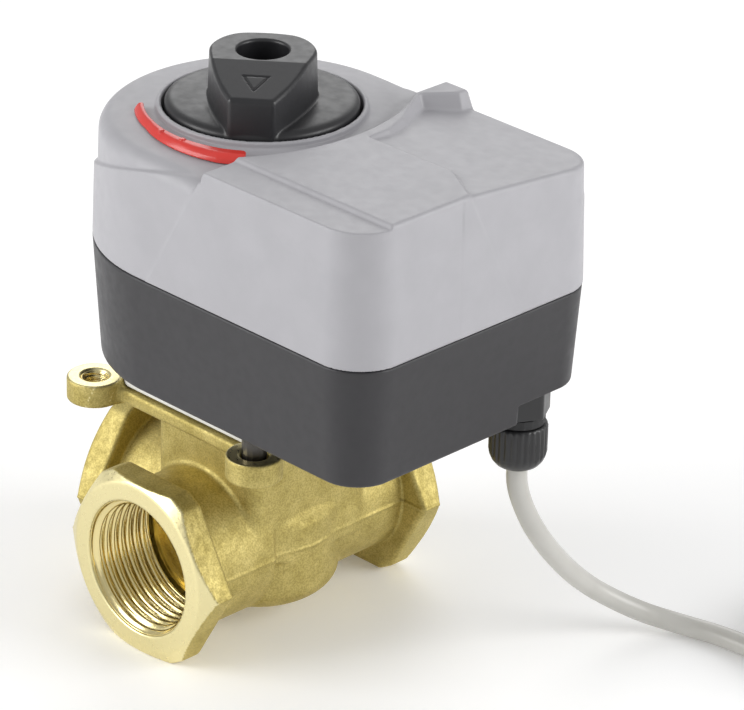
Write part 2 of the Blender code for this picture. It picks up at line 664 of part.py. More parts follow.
def gear_train():
    output_r = OUTPUT_TEETH * OUTPUT_MODULE / 2
    reach_2 = output_r + IDLER_2_PINION_TEETH * OUTPUT_MODULE / 2
    centre_2 = polar((0, 0), reach_2, IDLER_2_HEADING)
    reach_1 = (IDLER_2_WHEEL_TEETH + IDLER_1_PINION_TEETH) * SMALL_MODULE / 2
    centre_1 = polar(centre_2, reach_1, IDLER_1_HEADING)
    reach_m = (IDLER_1_WHEEL_TEETH + MOTOR_TEETH) * SMALL_MODULE / 2
    centre_m = polar(centre_1, reach_m, MOTOR_HEADING)

    gear = prism("output_gear", gear_outline(OUTPUT_TEETH, OUTPUT_MODULE, 0.0), 101.0, 105.0, WHITE)
    join(gear, rod("output_hub", 8.5, 104.0, 106.0))
    cut(gear, rod("output_bore", 6.25, 95.0, 110.0))

    phase_2 = meshed_phase(OUTPUT_TEETH, 0.0, IDLER_2_PINION_TEETH, IDLER_2_HEADING)
    small = gear_outline(IDLER_2_PINION_TEETH, OUTPUT_MODULE, phase_2, centre_2)
    large = gear_outline(IDLER_2_WHEEL_TEETH, SMALL_MODULE, 0.0, centre_2)
    idler("idler_2", centre_2, large, (97.0, 100.0), small, (99.5, 105.6))

    phase_1 = meshed_phase(IDLER_2_WHEEL_TEETH, 0.0, IDLER_1_PINION_TEETH, IDLER_1_HEADING)
    small = gear_outline(IDLER_1_PINION_TEETH, SMALL_MODULE, phase_1, centre_1)
    large = gear_outline(IDLER_1_WHEEL_TEETH, SMALL_MODULE, 0.0, centre_1)
    idler("idler_1", centre_1, large, (93.0, 96.0), small, (95.5, 100.4))

    phase_m = meshed_phase(IDLER_1_WHEEL_TEETH, 0.0, MOTOR_TEETH, MOTOR_HEADING)
    teeth = gear_outline(MOTOR_TEETH, SMALL_MODULE, phase_m, centre_m)
    pinion = prism("motor_pinion", teeth, 92.6, 97.0, STEEL)
    join(pinion, rod("motor_shaft", ARBOR_R, 84.0, 98.5, at=centre_m))
    return centre_1, centre_2, centre_m


def idler(name, centre, wheel, wheel_z, pinion, pinion_z):
    obj = prism(name, wheel, *wheel_z, WHITE)
    join(obj, prism(name + "_small", pinion, *pinion_z))
    cut(obj, rod(name + "_bore", ARBOR_R + 0.12, 80.0, 120.0, at=centre))
    rod(name.replace("idler", "arbor"), ARBOR_R, GEAR_PLATE_Z[0] - 0.8, pinion_z[1] + 0.3, STEEL, at=centre)


def gear_plate(centre_1, centre_2, centre_m):
    plate = prism("gear_plate", rounded_box(13.0, -24.7, 62.0, 26.5, 3.0), *GEAR_PLATE_Z, STEEL)
    cut(plate, block("plate_corner", (56.0, 17.5, 80.0), (70.0, 30.0, 100.0)))
    for index, place in enumerate(PILLARS):
        join(plate, rod(f"pillar_{index}", 2.0, GEAR_PLATE_Z[1] - 0.5, 112.7, steps=12, at=place))
    for index, place in enumerate((centre_1, centre_2)):
        cut(plate, rod(f"arbor_hole_{index}", ARBOR_R + 0.3, 80.0, 100.0, steps=16, at=place))
    return cut(plate, rod("motor_shaft_hole", 3.0, 80.0, 100.0, steps=16, at=centre_m))


def motor(centre_m):
    obj = rod("motor", MOTOR_R, 72.5, 88.0, STEEL, steps=40, at=MOTOR_CENTRE)
    join(obj, rod("motor_boss", 5.0, 87.0, 90.0, steps=20, at=centre_m))
    return cut(obj, rod("motor_bearing", ARBOR_R + 0.15, 83.5, 95.0, at=centre_m))


# ---------------------------------------------------------------- electrics


def electrics():
    block("circuit_board", (12.5, -30.0, 113.0), (56.5, 25.5, 114.6), GREEN)
    block("relay", (27.0, -27.5, 114.9), (45.0, -12.0, 122.9), BLUE)
    capacitor = rod("capacitor", 4.2, -9.0, 9.0, DARK_STEEL, steps=20)
    capacitor.rotation_euler = (math.radians(90), 0.0, 0.0)
    capacitor.location = (51.5 * MM, -18.0 * MM, 119.2 * MM)
    terminals = block("terminal_block", (45.0, 3.0, 114.9), (56.0, 24.5, 123.3), GREEN)
    for index in range(3):
        y = 7.0 + 6.5 * index
        cut(terminals, block(f"wire_way_{index}", (52.0, y - 1.9, 117.0), (60.0, y + 1.9, 121.0)))
    for index, (z, side) in enumerate(((107.75, -1.0), (111.05, 1.0))):
        y_low, y_high = sorted((1.2 * side, 21.0 * side))
        switch = block(f"limit_switch_{index + 1}", (12.6, y_low, 106.5), (22.4, y_high, 112.6), BLACK)
        tip = block(f"switch_button_{index}", (11.2, 7.0 * side - 1.2, z - 1.0), (13.2, 7.0 * side + 1.2, z + 1.0))
        join(switch, tip)


def gland():
    x, y = GLAND
    hexagonal = prism("gland_body", [(px + x, py + y) for px, py in hexagon(13.0)], 65.3, 72.3, BLACK)
    join(hexagonal, rod("gland_thread", 6.0, 71.0, 79.0, at=GLAND), rod("gland_neck", 5.3, 58.0, 66.0, at=GLAND))
    bore = ((0.0, 90.0), (3.1, 90.0), (3.1, 66.5), (4.3, 65.3), (4.3, 50.0), (0.0, 50.0))
    hole = turned("gland_way", bore, steps=24, ring=False)
    hole.location = (x * MM, y * MM, 0.0)
    cut(hexagonal, hole)
    tube_ring("gland_ring", 5.6, 6.2, 62.9, 65.0, RUBBER, at=GLAND)
    tube_ring("gland_bush", 2.8, 4.0, 57.0, 64.8, RUBBER, at=GLAND)
    shell = (
        (5.7, 62.6), (6.85, 62.6), (6.85, 54.7), (5.9, 52.7), (4.2, 51.3), (2.9, 51.3),
        (2.9, 56.6), (5.7, 56.6),
    )
    cap = turned("gland_cap", shell, BLACK, steps=32)
    cap.location = (x * MM, y * MM, 0.0)


# ---------------------------------------------------------------- lead


def smooth_route(points, spacing):
    """Evenly spaced points on a Catmull-Rom curve through the given ones."""
    dense = []
    knots = [points[0]] + list(points) + [points[-1]]
    for a, b, c, d in zip(knots, knots[1:], knots[2:], knots[3:]):
        a, b, c, d = Vector(a), Vector(b), Vector(c), Vector(d)
        for i in range(12):
            t = i / 12
            dense.append(
                0.5 * (2 * b + (c - a) * t + (2 * a - 5 * b + 4 * c - d) * t * t + (3 * b - a - 3 * c + d) * t ** 3)
            )
    dense.append(Vector(points[-1]))
    route = [dense[0]]
    travelled = 0.0
    for first, second in zip(dense, dense[1:]):
        travelled += (second - first).length
        if travelled >= spacing:
            route.append(second)
            travelled = 0.0
    if (route[-1] - dense[-1]).length < spacing / 2:
        route.pop()
    route.append(dense[-1])
    return route


def wire(name, route, radius, finish, resolution=2):
    curve = bpy.data.curves.new(name, "CURVE")
    curve.dimensions = "3D"
    curve.bevel_depth = radius * MM
    curve.bevel_resolution = resolution
    curve.use_fill_caps = True
    spline = curve.splines.new("POLY")
    spline.points.add(len(route) - 1)
    for point, place in zip(spline.points, route):
        point.co = (place[0] * MM, place[1] * MM, place[2] * MM, 1.0)
    curve.materials.append(finish)
    obj = bpy.data.objects.new(name, curve)
    PARTS.objects.link(obj)
    return obj


LEAD_ROUTE = (
    (61.5, 24.0, 51.0),
    (61.6, 24.1, 46.5),
    (62.1, 25.3, 41.5),
    (63.2, 27.3, 36.0),
    (64.5, 29.8, 31.0),
    (65.5, 33.2, 26.0),
    (66.4, 38.6, 19.6),
    (67.8, 44.3, 14.0),
    (70.0, 49.5, 9.8),
    (72.9, 54.0, 6.6),
    (76.0, 57.6, 4.5),
    (79.6, 60.6, 3.2),
    (84.5, 62.9, 2.6),
    (91.0, 64.6, 2.6),
    (98.3, 65.6, 2.6),
    (105.0, 65.6, 2.6),
)


def lead():
    inside = ((61.5, 24.0, 51.4), (61.5, 24.0, 70.0), (61.5, 24.0, 90.0), (61.5, 24.0, 108.0), (61.5, 23.6, 115.0))
    inside += ((60.6, 22.0, 118.5), (58.6, 20.6, 119.0), (56.4, 20.0, 119.0))
    wire("inner_lead", smooth_route(inside, 7.0), CABLE_R * 0.72, CABLE)
    wire("lead", smooth_route(LEAD_ROUTE, 6.0), CABLE_R, CABLE)
    inner, outer = COIL_R
    ring = ((inner, COIL_HEIGHT), (outer, COIL_HEIGHT), (outer, 0.1), (inner, 0.1))
    coil = turned("lead_coil", ring, CABLE, steps=32)
    coil.location = (COIL_CENTRE[0] * MM, COIL_CENTRE[1] * MM, 0.0)


valve_body()
seats()
ball()
stem()
mounting()
base_housing()
cover()
housing_seal()
cover_screws()
knob()
position_scale()
output_shaft()
cam("cam_lower", 106.3, 20.0)
cam("cam_upper", 109.5, 110.0)
idler_1_centre, idler_2_centre, pinion_centre = gear_train()
gear_plate(idler_1_centre, idler_2_centre, pinion_centre)
motor(pinion_centre)
electrics()
gland()
lead()
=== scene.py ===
"""Looks for the electrically actuated three-way ball valve, built around its CAD frame.

Shapes that need soft cast or moulded edges are written as distance functions in millimetres, negative
inside, and meshed by solid(). The rest are turned or swept. Everything ends in metres, in the row frame.
"""

import json
import math

import bpy
import numpy as np
from mathutils import Matrix, Vector


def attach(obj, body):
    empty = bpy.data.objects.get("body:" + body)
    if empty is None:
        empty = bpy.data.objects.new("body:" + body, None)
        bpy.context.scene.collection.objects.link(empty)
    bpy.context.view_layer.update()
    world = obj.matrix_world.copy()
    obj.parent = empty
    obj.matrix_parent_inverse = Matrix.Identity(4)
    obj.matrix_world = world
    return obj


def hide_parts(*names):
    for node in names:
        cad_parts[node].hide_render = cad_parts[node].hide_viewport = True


# Millimetres, unless a line says otherwise.
MM = 0.001
PORT_Z = 22.0
PORT_FACE = 39.0
HEX_BACK = 31.2
LUG = 27.4
FLANGE_TOP = 56.8
LUG_TOP = 58.7
PLATE_Z = (57.2, 61.2)
HOUSING_R = 39.0
HOUSING_END = 72.0
CORNER_R = 11.5
BASE_LOW = 67.5
COVER_LOW = 97.2
PLATFORM_Z = 130.8
KNOB_DISC_Z = 131.2
KNOB_TOP = 142.3
KNOB_HEADING = math.radians(-50.0)
GLAND = (61.5, 24.0)
CABLE_R = 2.5
LEAD_LENGTH = 0.70  # metres

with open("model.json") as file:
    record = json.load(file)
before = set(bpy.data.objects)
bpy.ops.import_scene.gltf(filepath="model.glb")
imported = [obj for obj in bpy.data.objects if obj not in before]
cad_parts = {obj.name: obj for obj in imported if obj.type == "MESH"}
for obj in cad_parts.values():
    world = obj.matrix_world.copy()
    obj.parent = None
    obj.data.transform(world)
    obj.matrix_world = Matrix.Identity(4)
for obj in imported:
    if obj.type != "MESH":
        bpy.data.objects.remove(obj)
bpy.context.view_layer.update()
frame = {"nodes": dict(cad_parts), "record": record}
nodes = frame["nodes"]
scene = bpy.context.scene


# ---------------------------------------------------------------- distance functions


def join(a, b, radius=0.0):
    """Either shape, with a fillet of this radius where they meet."""
    if radius <= 0:
        return np.minimum(a, b)
    corner = np.hypot(np.maximum(radius - a, 0), np.maximum(radius - b, 0))
    return np.maximum(radius, np.minimum(a, b)) - corner


def both(a, b, radius=0.0):
    """What the shapes share, with a rounded edge of this radius."""
    if radius <= 0:
        return np.maximum(a, b)
    corner = np.hypot(np.maximum(radius + a, 0), np.maximum(radius + b, 0))
    return np.minimum(-radius, np.maximum(a, b)) + corner


def without(a, b, radius=0.0):
    return both(a, -b, radius)


def slab(value, low, high):
    return np.abs(value - (low + high) / 2) - (high - low) / 2


def box_plan(x, y, half_x, half_y, radius):
    qx = np.abs(x) - half_x + radius
    qy = np.abs(y) - half_y + radius
    return np.minimum(np.maximum(qx, qy), 0) + np.hypot(np.maximum(qx, 0), np.maximum(qy, 0)) - radius


def polygon(x, y, corners):
    """Distance to a closed polygon seen from above."""
    nearest = np.full(np.shape(x), 1e9)
    inside = np.zeros(np.shape(x), bool)
    for (ax, ay), (bx, by) in zip(corners, corners[1:] + corners[:1]):
        ex, ey = bx - ax, by - ay
        t = np.clip(((x - ax) * ex + (y - ay) * ey) / (ex * ex + ey * ey), 0, 1)
        nearest = np.minimum(nearest, np.hypot(x - ax - t * ex, y - ay - t * ey))
        if ay != by:
            crosses = (ay > y) != (by > y)
            inside ^= crosses & (x < ax + (y - ay) * ex / ey)
    return np.where(inside, -nearest, nearest)


def housing_plan(x, y):
    """The actuator from above: a half circle about the stem, straight sides and a square end."""
    qx = x - HOUSING_END + CORNER_R
    qy = np.abs(y) - HOUSING_R + CORNER_R
    corner = np.hypot(np.maximum(qx, 0), np.maximum(qy, 0))
    square = np.minimum(np.maximum(qx, qy), 0) + corner - CORNER_R
    return np.where(x < 0, np.hypot(x, y) - HOUSING_R, square)


# ---------------------------------------------------------------- meshing


COARSE = 4


def sample(shape, axes):
    """Values on the whole grid. Only the cells near the surface are worked out in full."""
    rough = [axis[::COARSE] for axis in axes]
    step = axes[0][1] - axes[0][0]
    coarse = shape(*np.meshgrid(*rough, indexing="ij")).astype(np.float32)
    near = np.abs(coarse) < 6.5 * step
    for axis in range(3):
        coarse = np.repeat(coarse, COARSE, axis)
        near = np.repeat(near, COARSE, axis)
    size = [len(axis) for axis in axes]
    values = coarse[: size[0], : size[1], : size[2]].copy()
    spot = np.nonzero(near[: size[0], : size[1], : size[2]])
    values[spot] = shape(axes[0][spot[0]], axes[1][spot[1]], axes[2][spot[2]])
    return values


def surface(values, axes):
    """Surface nets: a point in each cell that the surface crosses, and a quad about each crossed edge."""
    inside = values < 0
    nx, ny, nz = (length - 1 for length in inside.shape)
    count = sum(
        inside[i : nx + i, j : ny + j, k : nz + k].astype(np.int8)
        for i in (0, 1)
        for j in (0, 1)
        for k in (0, 1)
    )
    cell = np.array(np.nonzero((count > 0) & (count < 8)))
    index = np.full(count.shape, -1, np.int32)
    index[tuple(cell)] = np.arange(cell.shape[1])
    total = np.zeros((cell.shape[1], 3))
    crossed = np.zeros(cell.shape[1])
    for axis in range(3):
        for i in (0, 1):
            for j in (0, 1):
                start = np.insert(np.array([i, j]), axis, 0)
                a = values[tuple(cell + start[:, None])]
                b = values[tuple(cell + (start + np.eye(3, dtype=int)[axis])[:, None])]
                hit = (a < 0) != (b < 0)
                share = np.where(hit, a / np.where(hit, a - b, 1), 0)
                total[hit] += start
                total[hit, axis] += share[hit]
                crossed += hit
    step = axes[0][1] - axes[0][0]
    origin = np.array([axis[0] for axis in axes])
    points = origin + (cell.T + total / crossed[:, None]) * step
    faces = []
    for axis in range(3):
        u, v = (axis + 1) % 3, (axis + 2) % 3
        lower = [slice(None)] * 3
        upper = [slice(None)] * 3
        lower[axis] = slice(0, -1)
        upper[axis] = slice(1, None)
        change = inside[tuple(lower)] != inside[tuple(upper)]
        edge = np.array(np.nonzero(change))
        within = (edge[u] > 0) & (edge[v] > 0)
        within &= (edge[u] < count.shape[u]) & (edge[v] < count.shape[v])
        edge = edge[:, within]
        ring = []
        for du, dv in ((1, 1), (0, 1), (0, 0), (1, 0)):
            place = edge.copy()
            place[u] -= du
            place[v] -= dv
            ring.append(index[tuple(place)])
        quad = np.array(ring).T
        flip = ~inside[tuple(edge)]
        quad[flip] = quad[flip][:, ::-1]
        faces.append(quad)
    return points, np.concatenate(faces)


def solid(name, shape, low, high, step, finish):
    """Meshes the zero surface of shape(x, y, z) inside the box from low to high, in millimetres."""
    step *= 1.0
    axes = [np.arange(lo - 2.3 * step, hi + 3.3 * step, step) for lo, hi in zip(low, high)]
    points, faces = surface(sample(shape, axes), axes)
    for _ in range(2):
        here = shape(*points.T)
        offsets = 0.01 * np.eye(3)
        rises = [(shape(*(points + d).T) - shape(*(points - d).T)) / 0.02 for d in offsets]
        slope = np.stack(rises, 1)
        move = -(here / np.maximum((slope**2).sum(1), 0.2))[:, None] * slope
        points += np.clip(move, -0.35 * step, 0.35 * step)
    return mesh_piece(name, points, faces, finish)


def mesh_piece(name, points, faces, finish):
    mesh = bpy.data.meshes.new(name)
    mesh.from_pydata((np.asarray(points) * MM).tolist(), [], [list(map(int, f)) for f in faces])
    mesh.validate()
    mesh.shade_smooth()
    obj = bpy.data.objects.new(name, mesh)
    scene.collection.objects.link(obj)
    mesh.materials.append(finish)
    return obj


def revolve(name, rings, finish, sides, wave):
    """A closed profile of (radius, z) turned about Z. wave(angle, ring number) adds to the radius."""
    angle = np.linspace(0, 2 * np.pi, sides, endpoint=False)
    points = []
    for number, (radius, z) in enumerate(rings):
        r = radius + wave(angle, number)
        points.append(np.stack([r * np.cos(angle), r * np.sin(angle), np.full(sides, float(z))], 1))
    points = np.concatenate(points)
    faces = []
    for i in range(len(rings)):
        a, b = i * sides, ((i + 1) % len(rings)) * sides
        faces += [(a + k, a + (k + 1) % sides, b + (k + 1) % sides, b + k) for k in range(sides)]
    return mesh_piece(name, points, faces, finish)


def place(obj, move=(0, 0, 0), turn=None):
    """Turns and moves the mesh itself, in millimetres."""
    matrix = Matrix.Translation(Vector(move) * MM)
    if turn is not None:
        matrix = matrix @ turn
    obj.data.transform(matrix)
    return obj


def port_turn(heading):
    """From +Z to the way that a port faces: heading 0 is -Y, -90 is -X and 180 is +Y."""
    return Matrix.Rotation(math.radians(heading), 4, "Z") @ Matrix.Rotation(math.radians(90), 4, "X")


def show(obj, body, slot, *stands_for):
    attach(obj, body)
    if stands_for:
        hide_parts(*stands_for)
    return obj


# ---------------------------------------------------------------- materials


class Finish:
    """A node material built up from procedural parts."""

    def __init__(self, name, colour, roughness, metallic=0.0, **inputs):
        self.material = bpy.data.materials.new(name)
        self.material.use_nodes = True
        self.tree = self.material.node_tree
        self.shader = self.tree.nodes["Principled BSDF"]
        self.shader.inputs["Base Color"].default_value = (*colour, 1)
        self.shader.inputs["Roughness"].default_value = roughness
        self.shader.inputs["Metallic"].default_value = metallic
        for key, value in inputs.items():
            self.shader.inputs[key.replace("_", " ")].default_value = value
        self.place = self.node("ShaderNodeTexCoord").outputs["Object"]
        self.normal = None

    def node(self, kind, **settings):
        made = self.tree.nodes.new(kind)
        for key, value in settings.items():
            setattr(made, key, value)
        return made

    def link(self, source, target):
        self.tree.links.new(source, target)

    def noise(self, size_mm, detail=3.0):
        noise = self.node("ShaderNodeTexNoise")
        noise.inputs["Scale"].default_value = 1 / (size_mm * MM)
        noise.inputs["Detail"].default_value = detail
        self.link(self.place, noise.inputs["Vector"])
        return noise.outputs["Fac"]

    def ramp(self, source, low, high, from_low=0.35, from_high=0.65):
        """Maps a noise value to the range from low to high."""
        made = self.node("ShaderNodeMapRange")
        made.inputs["From Min"].default_value = from_low
        made.inputs["From Max"].default_value = from_high
        made.inputs["To Min"].default_value = low
        made.inputs["To Max"].default_value = high
        self.link(source, made.inputs["Value"])
        return made.outputs["Result"]

    def bump(self, source, height_mm, strength=1.0):
        made = self.node("ShaderNodeBump")
        made.inputs["Distance"].default_value = height_mm * MM
        made.inputs["Strength"].default_value = strength
        self.link(source, made.inputs["Height"])
        if self.normal:
            self.link(self.normal, made.inputs["Normal"])
        self.normal = made.outputs["Normal"]
        self.link(self.normal, self.shader.inputs["Normal"])
        return made

    def vary(self, socket, source, low, high):
        self.link(self.ramp(source, low, high), self.shader.inputs[socket])

    def tint(self, source, first, second):
        mix = self.node("ShaderNodeMix", data_type="RGBA")
        mix.inputs[6].default_value = (*first, 1)
        mix.inputs[7].default_value = (*second, 1)
        self.link(self.ramp(source, 0, 1), mix.inputs["Factor"])
        self.link(mix.outputs[2], self.shader.inputs["Base Color"])
        return mix


def plastic(name, colour, roughness, grain=0.35, height=0.012):
    made = Finish(name, colour, roughness)
    darker = tuple(c * 0.95 for c in colour)
    made.tint(made.noise(9.0, 4), darker, colour)
    made.vary("Roughness", made.noise(2.5, 5), roughness - 0.04, roughness + 0.05)
    made.bump(made.noise(grain, 2), height, 0.5)
    return made


def cast_brass():
    """Tumbled cast brass, with bright cut faces where the mesh's cut attribute is set."""
    made = Finish("brass", (0.78, 0.66, 0.26), 0.3, 1.0)
    cut = made.node("ShaderNodeAttribute", attribute_name="cut").outputs["Fac"]
    broad = made.tint(made.noise(6.0, 5), (0.53, 0.44, 0.155), (0.65, 0.55, 0.22))
    bare = made.node("ShaderNodeMix", data_type="RGBA")
    bare.inputs[7].default_value = (0.82, 0.73, 0.40, 1)
    made.link(cut, bare.inputs["Factor"])
    made.link(broad.outputs[2], bare.inputs[6])
    speck = made.node("ShaderNodeMix", data_type="RGBA", blend_type="MULTIPLY")
    speck.inputs["Factor"].default_value = 1.0
    made.link(bare.outputs[2], speck.inputs[6])
    shade = made.node("ShaderNodeMix", data_type="RGBA")
    shade.inputs[6].default_value = (0.76, 0.75, 0.71, 1)
    shade.inputs[7].default_value = (1.0, 1.0, 1.0, 1)
    lit = made.node("ShaderNodeMath", operation="MAXIMUM")
    made.link(made.ramp(made.noise(0.42, 3), 0.0, 1.0, 0.38, 0.60), lit.inputs[0])
    made.link(cut, lit.inputs[1])
    made.link(lit.outputs[0], shade.inputs["Factor"])
    made.link(shade.outputs[2], speck.inputs[7])
    made.link(speck.outputs[2], made.shader.inputs["Base Color"])
    rough = made.node("ShaderNodeMix", data_type="FLOAT")
    made.link(cut, rough.inputs["Factor"])
    made.link(made.ramp(made.noise(1.6, 5), 0.56, 0.68), rough.inputs[2])
    made.link(made.ramp(made.noise(0.8, 3), 0.27, 0.38), rough.inputs[3])
    made.link(rough.outputs[0], made.shader.inputs["Roughness"])
    depth = made.node("ShaderNodeMath", operation="MULTIPLY_ADD")
    depth.inputs[1].default_value = -0.85
    depth.inputs[2].default_value = 1.0
    made.link(cut, depth.inputs[0])
    for size, height in ((0.45, 0.045), (2.6, 0.08)):
        bump = made.bump(made.noise(size, 3), height)
        made.link(depth.outputs[0], bump.inputs["Strength"])
    return made.material


def cut_brass():
    """Turned brass, for the threads and for the CAD nodes that stay as they are."""
    made = Finish("cut_brass", (0.82, 0.70, 0.35), 0.2, 1.0)
    made.vary("Roughness", made.noise(0.9, 4), 0.15, 0.27)
    made.bump(made.noise(0.25, 2), 0.006, 0.6)
    return made.material


def metal(name, colour, roughness):
    made = Finish(name, colour, roughness, 1.0)
    made.vary("Roughness", made.noise(1.2, 4), roughness - 0.06, roughness + 0.08)
    made.bump(made.noise(0.3, 2), 0.006, 0.5)
    return made.material


def rubber(name, colour):
    made = Finish(name, colour, 0.7)
    made.bump(made.noise(0.3, 3), 0.015, 0.6)
    return made.material


grey = plastic("grey_housing", (0.395, 0.39, 0.412), 0.46).material
charcoal = plastic("charcoal_housing", (0.026, 0.025, 0.028), 0.46).material
black = plastic("black_plastic", (0.018, 0.018, 0.020), 0.38, 0.6, 0.006).material
gland_black = plastic("gland_plastic", (0.017, 0.017, 0.018), 0.34, 0.6, 0.006).material
red = plastic("red_plastic", (0.66, 0.045, 0.036), 0.22, 0.8, 0.004).material
white = plastic("white_plastic", (0.80, 0.80, 0.77), 0.45).material
blue = plastic("relay_plastic", (0.05, 0.14, 0.45), 0.35).material
green = plastic("board_green", (0.015, 0.16, 0.06), 0.4).material
brass = cast_brass()
bright_brass = cut_brass()
steel = metal("steel", (0.60, 0.60, 0.61), 0.28)
dark_steel = metal("dark_steel", (0.09, 0.085, 0.08), 0.35)
seal_rubber = rubber("rubber", (0.018, 0.018, 0.019))


def cable_jacket():
    made = Finish("cable_jacket", (0.53, 0.52, 0.485), 0.34, Coat_Weight=0.12)
    made.tint(made.noise(14.0, 3), (0.50, 0.49, 0.455), (0.56, 0.55, 0.515))
    made.bump(made.noise(1.2, 3), 0.02, 0.4)
    return made.material


jacket = cable_jacket()

BY_SLOT = {
    "brass": bright_brass,
    "steel": steel,
    "dark_steel": dark_steel,
    "grey_plastic": grey,
    "charcoal_plastic": charcoal,
    "black_plastic": black,
    "red_plastic": red,
    "white_plastic": white,
    "rubber": seal_rubber,
    "green_plastic": green,
    "blue_plastic": blue,
    "cable_jacket": jacket,
}

for part in frame["record"]["subparts"]:
    node = nodes[part["node"]]
    node.data.materials.clear()
    node.data.materials.append(BY_SLOT[part["material_slot"]])
    node.data.polygons.foreach_set("material_index", [0] * len(node.data.polygons))
    node.data.shade_smooth()
    node.data.set_sharp_from_angle(angle=math.radians(35))


# ---------------------------------------------------------------- valve body

PORTS = (("a", 0), ("b", 180), ("ab", -90))


def port_axes(x, y, z, heading):
    """Coordinates seen along a port: across, up, and out along its axis."""
    if heading == 0:
        return x, z - PORT_Z, -y
    if heading == 180:
        return -x, z - PORT_Z, y
    return y, z - PORT_Z, -x


def port_chamfer(across, up, out):
    """Distance to the cone turned on the hexagon's front corners."""
    return (np.hypot(across, up) - 21.2 + (out - PORT_FACE) * 1.65) / 1.93


def hexagon(across, up, out):
    """The port's hexagon, with flats above and below, trimmed upper corners and a turned chamfer."""
    shape = np.abs(up) - 22.0
    for angle, half, edge in ((60, 22.0, 0.3), (120, 22.0, 0.3), (30, 24.1, 0.4), (-30, 24.1, 0.4)):
        c, s = math.cos(math.radians(angle)), math.sin(math.radians(angle))
        shape = both(shape, np.abs(c * up + s * across) - half, edge)
    shape = both(shape, -(out - HEX_BACK), 1.2)
    radius = np.hypot(across, up)
    back = (radius - 25.2 + (HEX_BACK - out) * 1.2) / 1.56
    shape = both(both(shape, port_chamfer(across, up, out), 0.25), back, 0.6)
    return both(shape, out - PORT_FACE, 0.2)


def casting(x, y, z):
    radius = np.hypot(x, y)
    u = np.maximum(radius - 3.5, 0) / 16.0
    v = np.maximum(11.0 - z, 0) / 8.0
    reach = np.hypot(u, v) + 1e-6
    dome = (reach - 1.0) * reach / (np.hypot(u / 16.0, v / 8.0) + 1e-7)
    dome = both(dome, z - 30.0, 3.0)
    pad = both(both(radius - 5.0, -z, 0.3), z - 9.0)
    shape = join(dome, pad, 0.6)
    for _, heading in PORTS:
        across, up, out = port_axes(x, y, z, heading)
        neck = np.hypot(across, up) - (18.9 if heading == 0 else 17.8)
        neck = both(neck, -(out - (11.8 if heading == 0 else -2.0)), 0.6)
        neck = both(neck, out - 33.0)
        shape = join(shape, neck, 0.5)
    tower = box_plan(x - 0.25, y - 0.5, 17.3, 18.5, 4.0)
    tower = both(both(tower, 20.0 - z), z - 55.5)
    shape = join(shape, tower, 1.4)
    for _, heading in PORTS:
        shape = join(shape, hexagon(*port_axes(x, y, z, heading)), 0.6)
    seam = both(shape - 0.28, np.abs(z - PORT_Z) - 0.3, 0.1)
    seam = both(seam, np.maximum(-x, np.abs(y)) - 36.5)
    shape = join(shape, seam, 0.3)
    flange = both(box_plan(x, y, 25.2, 25.2, 5.0), slab(z, 53.2, FLANGE_TOP), 0.9)
    flange = without(flange, both(box_plan(x, y, 14.0, 14.0, 6.0), 58.0 - z))
    for sx in (-1, 1):
        for sy in (-1, 1):
            ring = np.hypot(x - sx * LUG, y - sy * LUG) - 6.65
            lug = both(ring, slab(z, 52.95, LUG_TOP), 0.55)
            flange = join(flange, lug, 2.2)
    return join(shape, flange, 2.0)


def machining(x, y, z):
    """What the tools take away: sockets, chambers, the stem bore and the lug holes."""
    cut = np.full(np.shape(x), 1e3)
    for _, heading in PORTS:
        across, up, out = port_axes(x, y, z, heading)
        radius = np.hypot(across, up)
        socket = both(radius - 16.78, 17.8 - out)
        mouth = (radius - 16.9 - (out - PORT_FACE)) / 1.414
        socket = join(socket, both(mouth, 34.0 - out))
        chamber = both(radius - 13.6, (2.0 if heading else -6.0) - out, 2.0)
        cut = np.minimum(cut, np.minimum(socket, chamber))
    radius = np.hypot(x, y)
    cut = np.minimum(cut, both(radius - 5.3, 30.0 - z))
    cut = np.minimum(cut, both(radius - 7.0, slab(z, 30.0, 39.8)))
    for sx in (-1, 1):
        for sy in (-1, 1):
            hole = np.hypot(x - sx * LUG, y - sy * LUG)
            bore = hole - (3.25 if sx < 0 else 3.2)
            mouth = (hole - 3.2 - (z - 58.1)) / 1.414
            cut = np.minimum(cut, both(join(bore, mouth), 50.0 - z))
    return cut


def valve_body():
    def shape(x, y, z):
        return without(casting(x, y, z), machining(x, y, z), 0.12)

    low_corner = (-PORT_FACE, -PORT_FACE, 0)
    obj = solid("brass_body", shape, low_corner, (34.2, PORT_FACE, 58.8), 0.42, brass)
    points = np.empty(len(obj.data.vertices) * 3)
    obj.data.vertices.foreach_get("co", points)
    x, y, z = points.reshape(-1, 3).T / MM
    at_face = np.maximum(np.abs(y), -x) > PORT_FACE - 0.1
    turned = (machining(x, y, z) < 0.12) | at_face | (z > LUG_TOP - 0.08)
    for _, heading in PORTS:
        turned |= np.abs(port_chamfer(*port_axes(x, y, z, heading))) < 0.06
    attribute = obj.data.attributes.new("cut", "FLOAT", "POINT")
    attribute.data.foreach_set("value", turned.astype(np.float32))
    show(obj, "housing", "brass", "valve_body")


